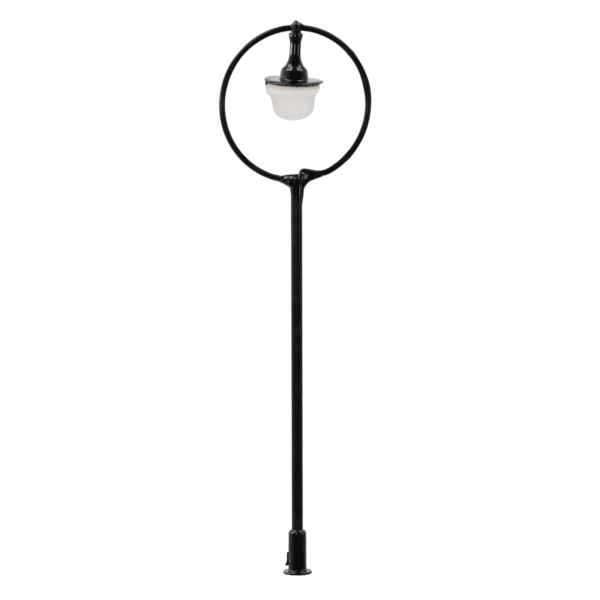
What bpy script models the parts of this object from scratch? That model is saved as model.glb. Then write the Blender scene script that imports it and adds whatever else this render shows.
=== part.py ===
"""Model railway street lamp: flanged foot, slim tube mast, hoop of thin tube and a lamp hung in the hoop.

Metres, +Z up. The origin is on the ground, under the middle of the foot, and the hoop lies in the XZ plane.
The lamp's pieces are drawn about an axis that hangs from the top of the hoop: heights there are negative.
"""

import math

import bmesh
import bpy
from mathutils import Matrix, Vector
from mathutils.geometry import interpolate_bezier

MM = 0.001

# Clearances
SOLDER_GAP = 0.02 * MM  # film between faces that are soldered, glued or seated
SLIP_GAP = 0.04 * MM  # radial play of a push fit
PLUG_GAP = 0.07 * MM  # radial play of the hoop's end in the mast
WIRE_GAP = 0.1 * MM  # radial play of the feed wire in its hole

# Foot
FLANGE_THICKNESS = 0.3 * MM
FLANGE_PROJECTION = 0.76 * MM
FLANGE_EDGE = 0.06 * MM
SLEEVE_HEIGHT = 5.9 * MM
SLEEVE_WALL = 0.47 * MM
SLEEVE_SHOULDER = 0.8  # rounding of its top edge, as a share of its wall
TAIL_DIAMETER = 0.24 * MM
TAIL_BEAD_DIAMETER = 0.56 * MM
TAIL_TOP = 3.0 * MM
TAIL_LENGTH = 1.8 * MM
TAIL_ANGLE = math.radians(170)  # from +X, round the mast

# Mast
MAST_DIAMETER = 1.5 * MM
MAST_HEIGHT = 54.9 * MM
MAST_RECESS = 0.05 * MM  # lower end above the ground
BUSH_LENGTH = 2.0 * MM

# Hoop, measured on its centre line
RING_WIDTH = 20.72 * MM
RING_HEIGHT = 21.4 * MM
RING_OFFSET = -0.13 * MM  # its middle, from the mast's axis
RING_RISE = 1.32 * MM  # lowest point above the mast's mouth
RING_TUBE_DIAMETER = 0.8 * MM
RING_TUBE_WALL = 0.16 * MM
RING_PLUG = 3.0 * MM  # length inside the mast
ROOT_ANGLE = math.radians(6.8)  # where the bend above the mast joins the oval, from its lowest point
LAP_ANGLE = math.radians(24)  # where the other end leaves the oval, from its lowest point
ROOT_PULL = 0.55  # pull of the root's bend on its ends, as a share of its size
LAP_REACH = 1.05 * MM  # crest of the lapped end, from the mast's axis
LAP_RISE = 1.2 * MM  # crest above the lowest point of the oval
LAP_PULL = 0.35  # pull of the climb to the crest on its ends, as a share of its length
LAP_TIP = 0.46 * MM  # length of the end beyond the crest
LAP_TIP_DROP = 0.15 * MM

# Solder
ROOT_SOLDER_REACH = 2.5 * MM
ROOT_SOLDER_FILM = 0.08 * MM
ROOT_SOLDER_SWELL = 0.5  # thickening of each arm, as a share of the mast's diameter
ROOT_SOLDER_TUCK = 0.9  # start of the right arm inside the left one, as a share of its width
ROOT_SOLDER_DEPTH = 0.2  # height of that start, as a share of the hoop's rise
SADDLE_DIAMETER = 1.56 * MM
SADDLE_PEAK = 1.0 * MM
SADDLE_WIDEST = 0.12 * MM  # above the hoop's centre line
SADDLE_PULL = (0.35 * MM, 0.48 * MM)  # pull of its crown's curve, at the peak and at the widest point
SADDLE_NECK_DIAMETER = 1.36 * MM
SADDLE_DROP = 0.71 * MM

# Lamp
LAMP_LEAN = math.radians(2.2)  # sideways, in the hoop's plane
LAMP_TILT = math.radians(2.0)  # backwards, out of the hoop's plane
STEM_LENGTH = 6.47 * MM
COLLAR_DIAMETER = 1.88 * MM
COLLAR_HEIGHT = 0.5 * MM
COLLAR_EDGE = 0.15 * MM
WAIST_DIAMETER = 1.54 * MM
WAIST_DROP = 2.77 * MM
BELL_DIAMETER = 3.86 * MM
BELL_HEIGHT = 0.7 * MM
BELL_SHOULDER_HEIGHT = 1.02 * MM
BELL_SHOULDER_WIDTH = 0.43 * MM
BELL_CREST = (0.42, 0.17)  # pull of the shoulder's curve, as shares of its width and height
BELL_SIDE_PULL = 0.54
FLARE_PULL = (0.7, 0.14)
WAIST_PULL = (0.3, 0.5)  # above and below the waist
SPIGOT_WALL = 0.46 * MM
SHADE_DIAMETER = 8.28 * MM
SHADE_RIM = 0.42 * MM
SHADE_RISE = 0.12 * MM
SHADE_PULL = 0.6  # how far the flat top runs on before it slopes to the rim
SEAT_HEIGHT = 0.7 * MM
SEAT_WALL = 0.4 * MM

# Globe
GLOBE_MOUTH = 5.7 * MM  # inner diameter
GLOBE_WALL = 0.28 * MM
GLOBE_LIP_WIDTH = 0.7 * MM
GLOBE_LIP_ROUND = 0.28 * MM
GLOBE_LIP_DROP = 0.66 * MM  # widest point of the lip, below its top
GLOBE_LIP_FALL = 0.88 * MM  # from there to the foot of the lip
GLOBE_ROUND_DIAMETER = 5.84 * MM  # where the round bottom starts
GLOBE_ROUND_HEIGHT = 2.3 * MM
GLOBE_ROOM = 1.2 * MM  # under the bulb's tip

# Bulb
SOCKET_WALL = 0.25 * MM
SOCKET_FLOOR = 0.25 * MM
SOCKET_GRIP = 1.0 * MM  # length of the bulb that it holds
BULB_DIAMETER = 2.2 * MM
BULB_LENGTH = 3.0 * MM
BULB_WALL = 0.18 * MM
BEAD_HEIGHT = 0.6 * MM
LEAD_DIAMETER = 0.15 * MM
LEAD_SPREAD = 0.7 * MM
LEAD_ROOM = 0.45 * MM  # above the bead, where the leads part
LEAD_REACH = 0.8 * MM
FILAMENT_DIAMETER = 0.06 * MM
FILAMENT_ARCH = 0.35 * MM

# Feed wire
WIRE_DIAMETER = 0.18 * MM
WIRE_TURN = 0.3 * MM  # radius of the bend from the hoop into the stem
SPLICE_LENGTH = 1.6 * MM
SPLICE_WALL = 0.12 * MM
SPLICE_DROP = 3.2 * MM  # middle of the splice, below the stem's top
LEAD_BUSH_LENGTH = 1.2 * MM

# Facets
ROUND_STEPS = 24
WIDE_STEPS = 32
FINE_STEPS = 12
RING_STEP = math.radians(6)
RING_SIDES = 12
BEND_STEPS = 10
WELD = 1e-7

# Sizes and places that follow
MAST_BORE = RING_TUBE_DIAMETER + 2 * PLUG_GAP
SLEEVE_BORE = MAST_DIAMETER + 2 * SOLDER_GAP
SLEEVE_DIAMETER = SLEEVE_BORE + 2 * SLEEVE_WALL
FLANGE_DIAMETER = SLEEVE_DIAMETER + 2 * FLANGE_PROJECTION
RING_BORE = RING_TUBE_DIAMETER - 2 * RING_TUBE_WALL
RING_BOTTOM = MAST_HEIGHT + RING_RISE
RING_CENTRE = RING_BOTTOM + RING_HEIGHT / 2
RING_TOP = RING_BOTTOM + RING_HEIGHT
WIRE_HOLE = WIRE_DIAMETER + 2 * WIRE_GAP
SPLICE_BORE = WIRE_DIAMETER + 2 * SLIP_GAP
SPLICE_DIAMETER = SPLICE_BORE + 2 * SPLICE_WALL
STEM_BORE = SPLICE_DIAMETER + 2 * SLIP_GAP
SPIGOT_DIAMETER = STEM_BORE + 2 * SPIGOT_WALL
SPIGOT_HOLE = SPIGOT_DIAMETER + 2 * SOLDER_GAP
STEM_TOP = -SADDLE_DROP - SOLDER_GAP
STEM_FOOT = STEM_TOP - STEM_LENGTH
SHADE_TOP = STEM_FOOT - SOLDER_GAP
SHADE_UNDERSIDE = SHADE_TOP - SHADE_RISE - SHADE_RIM
SOCKET_TOP = SHADE_UNDERSIDE - SOLDER_GAP
SPIGOT_END = SOCKET_TOP - SOCKET_FLOOR
LIVE_LEAD_X = -LEAD_SPREAD / 2
RETURN_LEAD_X = LEAD_SPREAD / 2
BULB_TOP = SPIGOT_END - LEAD_ROOM
BULB_TIP = BULB_TOP - BULB_LENGTH
BEAD_BOTTOM = BULB_TOP - BEAD_HEIGHT
LEAD_TIP = BEAD_BOTTOM - LEAD_REACH
SPLICE_CENTRE = STEM_TOP - SPLICE_DROP
GLOBE_TOP = SHADE_UNDERSIDE - SLIP_GAP
GLOBE_BOTTOM = BULB_TIP - GLOBE_ROOM - GLOBE_WALL

LAMP_TURN = Matrix.Rotation(LAMP_LEAN, 4, "Y") @ Matrix.Rotation(LAMP_TILT, 4, "X")
LAMP_FRAME = Matrix.Translation((0, 0, RING_TOP)) @ LAMP_TURN

# Base colour, roughness, metallic
FINISHES = {
    "black_enamel": ((0.012, 0.012, 0.013, 1), 0.22, 0.0),
    "bare_brass": ((0.72, 0.50, 0.20, 1), 0.35, 1.0),
    "frosted_plastic": ((0.86, 0.85, 0.84, 1), 0.45, 0.0),
    "bulb_glass": ((0.92, 0.95, 0.95, 1), 0.05, 0.0),
    "nickel_wire": ((0.60, 0.58, 0.54, 1), 0.3, 1.0),
    "tungsten": ((0.25, 0.24, 0.24, 1), 0.4, 1.0),
    "enamelled_copper": ((0.45, 0.14, 0.05, 1), 0.3, 0.6),
    "insulation": ((0.75, 0.73, 0.68, 1), 0.5, 0.0),
}


def clear_scene():
    for obj in list(bpy.data.objects):
        bpy.data.objects.remove(obj, do_unlink=True)


def new_collection(name):
    collection = bpy.data.collections.new(name)
    bpy.context.scene.collection.children.link(collection)
    return collection


clear_scene()
LAMP = new_collection("street_lamp")
CUTTERS = new_collection("cutters")
CUTTERS.hide_render = True


def finish_of(obj, finish):
    colour, roughness, metallic = FINISHES[finish]
    material = bpy.data.materials.new(f"{obj.name}_{finish}")
    material.use_nodes = True
    shader = material.node_tree.nodes["Principled BSDF"]
    shader.inputs["Base Color"].default_value = colour
    shader.inputs["Roughness"].default_value = roughness
    shader.inputs["Metallic"].default_value = metallic
    obj.data.materials.append(material)


def add_part(name, mesh, finish, frame=None):
    """A named piece of the lamp, or a cutter where it has no finish."""
    obj = bpy.data.objects.new(name, mesh)
    if finish:
        LAMP.objects.link(obj)
        finish_of(obj, finish)
    else:
        CUTTERS.objects.link(obj)
        obj.hide_render = True
        obj.display_type = "WIRE"
    obj.parent = frame
    return obj


def turned(name, profile, finish, frame=None, steps=ROUND_STEPS, closed=True):
    """A turned piece from (radius, height) points that run down its outer side."""
    mesh = bpy.data.meshes.new(name)
    points = [(radius, 0, height) for radius, height in profile]
    edges = [(i, i + 1) for i in range(len(points) - 1)]
    if closed:
        edges.append((len(points) - 1, 0))
    mesh.from_pydata(points, edges, [])
    obj = add_part(name, mesh, finish, frame)
    screw = obj.modifiers.new("turn", "SCREW")
    screw.axis = "Z"
    screw.steps = steps
    screw.render_steps = steps
    screw.use_merge_vertices = True
    screw.merge_threshold = WELD
    screw.use_smooth_shade = True
    return obj


def sleeve(name, outer, inner, top, bottom, finish, frame=None, steps=ROUND_STEPS):
    """A plain turned tube from its outer and inner diameters."""
    profile = [(outer / 2, top), (outer / 2, bottom), (inner / 2, bottom), (inner / 2, top)]
    return turned(name, profile, finish, frame, steps)


def swept(name, path, diameter, finish, frame=None, sides=8, widths=None):
    """A round bar along the path, with its caps welded; widths scale its diameter point by point."""
    curve = bpy.data.curves.new(name, "CURVE")
    curve.dimensions = "3D"
    curve.bevel_depth = diameter / 2
    curve.bevel_resolution = sides // 2 - 2
    curve.use_fill_caps = True
    spline = curve.splines.new("POLY")
    spline.points.add(len(path) - 1)
    for i, point in enumerate(path):
        spline.points[i].co = (*point, 1)
        spline.points[i].radius = widths[i] if widths else 1
    guide = bpy.data.objects.new(name, curve)
    LAMP.objects.link(guide)
    graph = bpy.context.evaluated_depsgraph_get()
    mesh = bpy.data.meshes.new_from_object(guide.evaluated_get(graph))
    bpy.data.objects.remove(guide, do_unlink=True)
    welded = bmesh.new()
    welded.from_mesh(mesh)
    bmesh.ops.remove_doubles(welded, verts=welded.verts, dist=WELD)
    welded.to_mesh(mesh)
    welded.free()
    mesh.name = name
    mesh.materials.clear()
    return add_part(name, mesh, finish, frame)


def boolean(obj, other, operation):
    modifier = obj.modifiers.new(f"{operation.lower()} {other.name}", "BOOLEAN")
    modifier.operation = operation
    modifier.solver = "EXACT"
    modifier.object = other


def arc(centre, radii, start, end, count=6):
    """Points of an elliptical arc about a (radius, height) centre, with angles in radians."""
    angles = [start + (end - start) * i / count for i in range(count + 1)]
    return [(centre[0] + radii[0] * math.cos(a), centre[1] + radii[1] * math.sin(a)) for a in angles]


def bezier(start, start_handle, end_handle, end, count):
    """Points of a Bezier curve in a plane, without its first point."""
    knots = [Vector((*point, 0)) for point in (start, start_handle, end_handle, end)]
    return [(point.x, point.y) for point in interpolate_bezier(*knots, count + 1)[1:]]


def upright(points):
    """(x, z) points in the hoop's plane as 3D points."""
    return [Vector((x, 0, z)) for x, z in points]


def hoop_point(turn):
    """Point of the hoop's oval, by the angle turned from its lowest point up its left side."""
    return (RING_OFFSET - RING_WIDTH / 2 * math.sin(turn), RING_CENTRE - RING_HEIGHT / 2 * math.cos(turn))


def root_path():
    """From the mast's mouth through the bend to where the oval starts."""
    mouth = (0, MAST_HEIGHT)
    end = hoop_point(ROOT_ANGLE)
    pull = -ROOT_PULL * end[0]
    mouth_handle = (0, MAST_HEIGHT + ROOT_PULL * RING_RISE)
    end_handle = (end[0] + pull * math.cos(ROOT_ANGLE), end[1] - pull * math.sin(ROOT_ANGLE))
    return [mouth] + bezier(mouth, mouth_handle, end_handle, end, BEND_STEPS)


def oval_path(end_turn):
    """Round the oval from the root to the turn given."""
    count = round((end_turn - ROOT_ANGLE) / RING_STEP)
    return [hoop_point(ROOT_ANGLE + (end_turn - ROOT_ANGLE) * i / count) for i in range(1, count + 1)]


def lap_path():
    """The hoop's other end, which leaves the oval, climbs over the root and dips."""
    start = hoop_point(-LAP_ANGLE)
    crest = (LAP_REACH, RING_BOTTOM + LAP_RISE)
    pull = LAP_PULL * (start[0] - crest[0])
    start_handle = (start[0] - pull * math.cos(LAP_ANGLE), start[1] - pull * math.sin(LAP_ANGLE))
    tip = (crest[0] - LAP_TIP, crest[1] - LAP_TIP_DROP)
    tip_handle = (tip[0] + LAP_TIP / 4, tip[1] + LAP_TIP_DROP / 2)
    climb = bezier(start, start_handle, (crest[0] + pull, crest[1]), crest, BEND_STEPS)
    dip = bezier(crest, (crest[0] - LAP_TIP / 2, crest[1]), tip_handle, tip, 3)
    return climb + dip


def ring_path(extra=0):
    """The whole hoop from its plug in the mast to its lapped tip, with both ends longer by extra."""
    plug = [(0, MAST_HEIGHT - RING_PLUG - extra)]
    points = upright(plug + root_path() + oval_path(2 * math.pi - LAP_ANGLE) + lap_path())
    outward = (points[-1] - points[-2]).normalized()
    points[-1] = points[-1] + outward * extra
    return points


def foot():
    edge = FLANGE_EDGE
    corner = FLANGE_DIAMETER / 2 - edge
    rim = arc((corner, FLANGE_THICKNESS - edge), (edge, edge), math.pi / 2, 0, 3)
    rim += arc((corner, edge), (edge, edge), 0, -math.pi / 2, 3)
    hole = SLEEVE_BORE / 2
    turned("foot_flange", rim + [(hole, 0), (hole, FLANGE_THICKNESS)], "black_enamel", steps=WIDE_STEPS)

    bottom = FLANGE_THICKNESS + SOLDER_GAP
    top = bottom + SLEEVE_HEIGHT
    radius = SLEEVE_DIAMETER / 2
    shoulder = SLEEVE_SHOULDER * SLEEVE_WALL
    profile = arc((radius - shoulder, top - shoulder), (shoulder, shoulder), math.pi / 2, 0)
    profile += [(radius, bottom), (hole, bottom), (hole, top)]
    turned("foot_sleeve", profile, "black_enamel", steps=WIDE_STEPS)


def return_tail():
    """Cut end of the return wire down the side of the foot sleeve, with a bead of solder at its end."""
    face = SLEEVE_DIAMETER / 2 + SOLDER_GAP
    beside = face + TAIL_DIAMETER / 2
    bead_place = Vector((face + TAIL_BEAD_DIAMETER / 2, 0, TAIL_TOP - TAIL_LENGTH))
    bend = Vector((beside, 0, bead_place.z + TAIL_BEAD_DIAMETER))
    turn = Matrix.Rotation(TAIL_ANGLE, 3, "Z")
    path = [turn @ point for point in (Vector((beside, 0, TAIL_TOP)), bend, bead_place)]
    tail = swept("return_tail", path, TAIL_DIAMETER, "black_enamel")
    ball = bmesh.new()
    bmesh.ops.create_uvsphere(ball, u_segments=FINE_STEPS, v_segments=8, radius=TAIL_BEAD_DIAMETER / 2)
    mesh = bpy.data.meshes.new("tail_bead")
    ball.to_mesh(mesh)
    ball.free()
    bead = add_part("tail_bead", mesh, None)
    bead.location = turn @ bead_place
    boolean(tail, bead, "UNION")


def mast():
    sleeve("mast_tube", MAST_DIAMETER, MAST_BORE, MAST_HEIGHT, MAST_RECESS, "black_enamel")
    bush_bore = WIRE_DIAMETER + 2 * SLIP_GAP
    bush_outer = MAST_BORE - 2 * SOLDER_GAP
    bush_top = MAST_RECESS + BUSH_LENGTH
    sleeve("wire_bush", bush_outer, bush_bore, bush_top, MAST_RECESS, "insulation", steps=FINE_STEPS)


def ring(wire_drill):
    """The hoop's tube, and the cutter for the seat that it needs in the solder."""
    hoop = swept("ring_tube", ring_path(), RING_TUBE_DIAMETER, "black_enamel", sides=RING_SIDES)
    bore = swept("ring_bore_cutter", ring_path(RING_BORE), RING_BORE, None)
    boolean(hoop, wire_drill, "DIFFERENCE")
    boolean(hoop, bore, "DIFFERENCE")
    seat_diameter = RING_TUBE_DIAMETER + 2 * SOLDER_GAP
    return swept("ring_seat_cutter", ring_path(SOLDER_GAP), seat_diameter, None, sides=RING_SIDES)


def solder_arm(name, path, finish, start_width):
    """An arm of solder that swells from the mast's mouth, then thins to a film on the hoop."""
    film_width = (RING_TUBE_DIAMETER + 2 * ROOT_SOLDER_FILM) / MAST_DIAMETER
    lengths = [0]
    for point, after in zip(path, path[1:]):
        lengths.append(lengths[-1] + math.dist(point, after))
    widths = []
    for length in lengths:
        share = length / lengths[-1]
        # Grows to 1 a quarter of the way along, then dies away.
        swell = 256 / 27 * share * (1 - share) ** 3
        widths.append(start_width + (film_width - start_width) * share + ROOT_SOLDER_SWELL * swell)
    return swept(name, upright(path), MAST_DIAMETER, finish, sides=RING_SIDES, widths=widths)


def root_solder(ring_seat):
    """Solder on the mast's mouth, with one arm along each end of the hoop."""
    mouth = (0, MAST_HEIGHT + SOLDER_GAP)
    reach_turn = math.asin(2 * ROOT_SOLDER_REACH / RING_WIDTH)
    left = [mouth, (0, mouth[1] + SOLDER_GAP)] + root_path()[1:] + oval_path(reach_turn)
    solder = solder_arm("root_solder", left, "black_enamel", 1)
    start = (0, MAST_HEIGHT + ROOT_SOLDER_DEPTH * RING_RISE)
    far = lap_path()[BEND_STEPS // 3]
    start_handle = (0, MAST_HEIGHT + ROOT_PULL * RING_RISE)
    far_handle = (LAP_REACH, (RING_BOTTOM + far[1]) / 2)
    right = [start] + bezier(start, start_handle, far_handle, far, BEND_STEPS)
    right_arm = solder_arm("root_solder_right_arm", right, None, ROOT_SOLDER_TUCK)
    boolean(solder, right_arm, "UNION")
    boolean(solder, ring_seat, "DIFFERENCE")


def top_solder(frame, ring_seat, wire_drill):
    """Saddle of solder round the top of the hoop, drawn up to a peak, with a neck down to the stem."""
    radius = SADDLE_DIAMETER / 2
    neck = SADDLE_NECK_DIAMETER / 2
    peak = (0, SADDLE_PEAK)
    widest = (radius, SADDLE_WIDEST)
    crown = bezier(peak, (SADDLE_PULL[0], SADDLE_PEAK), (radius, SADDLE_WIDEST + SADDLE_PULL[1]), widest, 8)
    waist = -RING_TUBE_DIAMETER / 2
    skirt = bezier(widest, (radius, waist), (neck, waist), (neck, -SADDLE_DROP), 5)
    profile = [peak] + crown + skirt + [(0, -SADDLE_DROP)]
    saddle = turned("top_solder", profile, "black_enamel", frame, closed=False)
    boolean(saddle, ring_seat, "DIFFERENCE")
    boolean(saddle, wire_drill, "DIFFERENCE")


def lamp_stem(frame):
    edge = (COLLAR_EDGE, COLLAR_EDGE)
    collar = COLLAR_DIAMETER / 2 - COLLAR_EDGE
    collar_foot = (collar, STEM_TOP - COLLAR_HEIGHT)
    waist = (WAIST_DIAMETER / 2, STEM_TOP - WAIST_DROP)
    bell = (BELL_DIAMETER / 2, STEM_FOOT + BELL_HEIGHT)
    shoulder = (bell[0] - BELL_SHOULDER_WIDTH, bell[1] + BELL_SHOULDER_HEIGHT)
    flare = waist[1] - shoulder[1]
    profile = arc((collar, STEM_TOP - COLLAR_EDGE), edge, math.pi / 2, 0, 3)
    profile += arc((collar, collar_foot[1] + COLLAR_EDGE), edge, 0, -math.pi / 2, 3)
    above_waist = (waist[0], waist[1] + WAIST_PULL[0] * WAIST_DROP)
    profile += bezier(collar_foot, (waist[0], collar_foot[1]), above_waist, waist, 5)
    below_waist = (waist[0], waist[1] - WAIST_PULL[1] * flare)
    into_shoulder = (shoulder[0] - FLARE_PULL[0] * BELL_SHOULDER_WIDTH, shoulder[1] + FLARE_PULL[1] * flare)
    profile += bezier(waist, below_waist, into_shoulder, shoulder, 8)
    crest_x = shoulder[0] + BELL_CREST[0] * BELL_SHOULDER_WIDTH
    crest_z = shoulder[1] - BELL_CREST[1] * BELL_SHOULDER_HEIGHT
    above_bell = (bell[0], bell[1] + BELL_SIDE_PULL * BELL_SHOULDER_HEIGHT)
    profile += bezier(shoulder, (crest_x, crest_z), above_bell, bell, 5)
    spigot = SPIGOT_DIAMETER / 2
    bore = STEM_BORE / 2
    profile += [(bell[0], STEM_FOOT), (spigot, STEM_FOOT), (spigot, SPIGOT_END)]
    profile += [(bore, SPIGOT_END), (bore, STEM_TOP)]
    turned("lamp_stem", profile, "black_enamel", frame, WIDE_STEPS)


def shade(frame):
    rim = SHADE_RIM / 2
    flat = BELL_DIAMETER / 2
    hole = SPIGOT_HOLE / 2
    rim_top = (SHADE_DIAMETER / 2 - rim, SHADE_TOP - SHADE_RISE)
    slope_handle = (flat + SHADE_PULL * (rim_top[0] - flat), SHADE_TOP)
    profile = [(hole, SHADE_TOP), (flat, SHADE_TOP)]
    profile += bezier(profile[-1], slope_handle, rim_top, rim_top, 4)
    profile += arc((rim_top[0], SHADE_UNDERSIDE + rim), (rim, rim), math.pi / 2, -math.pi / 2, 8)[1:]
    profile += [(hole, SHADE_UNDERSIDE)]
    turned("shade_disc", profile, "black_enamel", frame, WIDE_STEPS)


def globe_seat(frame):
    outer = GLOBE_MOUTH - 2 * SLIP_GAP
    bottom = SOCKET_TOP - SEAT_HEIGHT
    sleeve("globe_seat", outer, outer - 2 * SEAT_WALL, SOCKET_TOP, bottom, "bare_brass", frame, WIDE_STEPS)


def globe(frame):
    """Bowl with a thick rounded lip; its mouth pushes onto the seat and its axis is the way it pulls off."""
    mouth = GLOBE_MOUTH / 2
    body = mouth + GLOBE_WALL
    round_top = GLOBE_BOTTOM + GLOBE_ROUND_HEIGHT
    round_radii = (GLOBE_ROUND_DIAMETER / 2, GLOBE_ROUND_HEIGHT)
    inner_radii = (round_radii[0] - GLOBE_WALL, GLOBE_ROUND_HEIGHT - GLOBE_WALL)
    widest = GLOBE_TOP - GLOBE_LIP_DROP
    crown = (body + GLOBE_LIP_WIDTH - GLOBE_LIP_ROUND, widest)
    profile = arc((0, round_top), inner_radii, -math.pi / 2, 0, 8)
    profile += [(mouth, GLOBE_TOP - SEAT_HEIGHT), (mouth, GLOBE_TOP)]
    profile += arc(crown, (GLOBE_LIP_ROUND, GLOBE_LIP_DROP), math.pi / 2, 0, 5)
    profile += arc((body, widest), (GLOBE_LIP_WIDTH, GLOBE_LIP_FALL), 0, math.radians(-80), 6)[1:]
    profile += arc((0, round_top), round_radii, 0, -math.pi / 2, 9)
    turned("globe", profile, "frosted_plastic", frame, WIDE_STEPS, closed=False)


def lamp_socket(frame):
    inside = BULB_DIAMETER / 2 + SLIP_GAP
    outer = inside + SOCKET_WALL
    hole = SPIGOT_HOLE / 2
    cup_end = BULB_TOP - SOCKET_GRIP
    profile = [(outer, SOCKET_TOP), (outer, cup_end), (inside, cup_end), (inside, SPIGOT_END)]
    profile += [(hole, SPIGOT_END), (hole, SOCKET_TOP)]
    turned("lamp_socket", profile, "bare_brass", frame)


def bulb(frame):
    glass = BULB_DIAMETER / 2
    bore = glass - BULB_WALL
    tip_centre = (0, BULB_TIP + glass)
    profile = arc(tip_centre, (bore, bore), -math.pi / 2, 0, 4) + [(bore, BULB_TOP), (glass, BULB_TOP)]
    profile += arc(tip_centre, (glass, glass), 0, -math.pi / 2, 5)
    turned("bulb_glass", profile, "bulb_glass", frame, closed=False)

    bead_radius = bore - SOLDER_GAP
    bead_profile = [(0, BULB_TOP), (bead_radius, BULB_TOP), (bead_radius, BEAD_BOTTOM), (0, BEAD_BOTTOM)]
    bead = turned("bulb_bead", bead_profile, "bulb_glass", frame, FINE_STEPS, closed=False)
    for side, x in (("live", LIVE_LEAD_X), ("return", RETURN_LEAD_X)):
        drill_path = upright([(x, BULB_TOP + BEAD_HEIGHT), (x, BEAD_BOTTOM - BEAD_HEIGHT)])
        drill = swept(f"{side}_lead_hole_cutter", drill_path, LEAD_DIAMETER + 2 * SOLDER_GAP, None, frame)
        boolean(bead, drill, "DIFFERENCE")


def leads(frame):
    """The live lead comes out of the stem's bush and steps aside; the return lead meets the spigot's end."""
    bush_end = (0, SPIGOT_END)
    bead_top = (LIVE_LEAD_X, BULB_TOP)
    step = bezier(bush_end, (0, BULB_TOP), (LIVE_LEAD_X, SPIGOT_END), bead_top, 6)
    live = [(0, SPLICE_CENTRE - SOLDER_GAP), bush_end] + step + [(LIVE_LEAD_X, LEAD_TIP)]
    swept("bulb_lead_live", upright(live), LEAD_DIAMETER, "nickel_wire", frame)
    back = [(RETURN_LEAD_X, SPIGOT_END - SOLDER_GAP), (RETURN_LEAD_X, LEAD_TIP)]
    swept("bulb_lead_return", upright(back), LEAD_DIAMETER, "nickel_wire", frame)
    start = (LIVE_LEAD_X, LEAD_TIP - SOLDER_GAP)
    end = (RETURN_LEAD_X, start[1])
    sag = start[1] - FILAMENT_ARCH * 4 / 3
    filament = [start] + bezier(start, (start[0], sag), (end[0], sag), end, BEND_STEPS)
    swept("bulb_filament", upright(filament), FILAMENT_DIAMETER, "tungsten", frame)


def feed_wire():
    """Enamelled wire up the mast, round the left half of the hoop and down the lamp's stem."""
    last_turn = math.pi - 2 * (WIRE_TURN + RING_OFFSET) / RING_WIDTH
    route = [(0, MAST_RECESS)] + root_path() + oval_path(last_turn)
    route += arc((-WIRE_TURN, RING_TOP - WIRE_TURN), (WIRE_TURN, WIRE_TURN), math.pi / 2, 0)[1:]
    path = upright(route)
    path += [LAMP_FRAME @ Vector((0, 0, height)) for height in (STEM_TOP, SPLICE_CENTRE + SOLDER_GAP)]
    swept("live_wire", path, WIRE_DIAMETER, "enamelled_copper", sides=6)


def insulation(frame):
    top = SPLICE_CENTRE + SPLICE_LENGTH / 2
    bottom = top - SPLICE_LENGTH
    sleeve("splice_sleeve", SPLICE_DIAMETER, SPLICE_BORE, top, bottom, "insulation", frame, FINE_STEPS)
    lead_bore = LEAD_DIAMETER + 2 * SLIP_GAP
    bush_outer = STEM_BORE - 2 * SOLDER_GAP
    bush_top = SPIGOT_END + LEAD_BUSH_LENGTH
    sleeve("lead_bush", bush_outer, lead_bore, bush_top, SPIGOT_END, "insulation", frame, FINE_STEPS)


def lamp_axis():
    """Empty at the top of the hoop, leaning as the lamp hangs; the globe slides along its Z axis."""
    frame = bpy.data.objects.new("lamp_axis", None)
    frame.matrix_world = LAMP_FRAME
    LAMP.objects.link(frame)
    return frame


def settled(obj):
    """The piece's mesh as its modifiers make it, shaded smooth but for its edges."""
    graph = bpy.context.evaluated_depsgraph_get()
    mesh = bpy.data.meshes.new_from_object(obj.evaluated_get(graph))
    mesh.shade_smooth()
    mesh.set_sharp_from_angle(angle=math.radians(40))
    return mesh


def build():
    frame = lamp_axis()
    wire_drill = swept("wire_hole_cutter", upright([(0, 0), (0, 2 * STEM_TOP)]), WIRE_HOLE, None, frame)
    foot()
    return_tail()
    mast()
    ring_seat = ring(wire_drill)
    root_solder(ring_seat)
    top_solder(frame, ring_seat, wire_drill)
    lamp_stem(frame)
    shade(frame)
    globe_seat(frame)
    globe(frame)
    lamp_socket(frame)
    bulb(frame)
    leads(frame)
    feed_wire()
    insulation(frame)
    bpy.context.view_layer.update()
    pieces = [obj for obj in LAMP.objects if obj.type == "MESH"]
    meshes = [settled(obj) for obj in pieces]
    for obj, mesh in zip(pieces, meshes):
        obj.modifiers.clear()
        obj.data = mesh


build()
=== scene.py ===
import math

import bpy
from mathutils import Matrix, Vector, noise
from mathutils.geometry import interpolate_bezier


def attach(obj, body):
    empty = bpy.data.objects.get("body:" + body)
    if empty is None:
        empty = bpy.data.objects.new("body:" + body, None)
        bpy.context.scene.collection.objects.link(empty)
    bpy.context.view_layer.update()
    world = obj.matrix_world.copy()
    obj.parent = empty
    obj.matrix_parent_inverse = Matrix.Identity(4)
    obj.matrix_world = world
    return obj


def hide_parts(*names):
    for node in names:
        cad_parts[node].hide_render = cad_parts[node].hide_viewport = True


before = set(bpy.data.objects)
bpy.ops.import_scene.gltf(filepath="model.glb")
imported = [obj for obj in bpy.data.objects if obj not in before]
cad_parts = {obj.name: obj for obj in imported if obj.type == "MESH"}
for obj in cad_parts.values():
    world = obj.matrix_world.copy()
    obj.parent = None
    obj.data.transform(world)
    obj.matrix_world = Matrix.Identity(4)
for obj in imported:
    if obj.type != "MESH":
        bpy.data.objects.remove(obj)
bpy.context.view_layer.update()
mm = 0.001  # pieces are drawn with one unit to the millimetre, then shrunk into the frame
print("frame loaded:", len(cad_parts), "nodes")


# ways of working

def clearSelection():
    bpy.ops.object.select_all(action="DESELECT")


def pickOnly(piece):
    clearSelection()
    piece.select_set(True)
    bpy.context.view_layer.objects.active = piece


def bend(start, startHandle, endHandle, end, count):
    knots = [Vector((*point, 0)) for point in (start, startHandle, endHandle, end)]
    return [(point.x, point.y) for point in interpolate_bezier(*knots, count + 1)[1:]]


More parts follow.
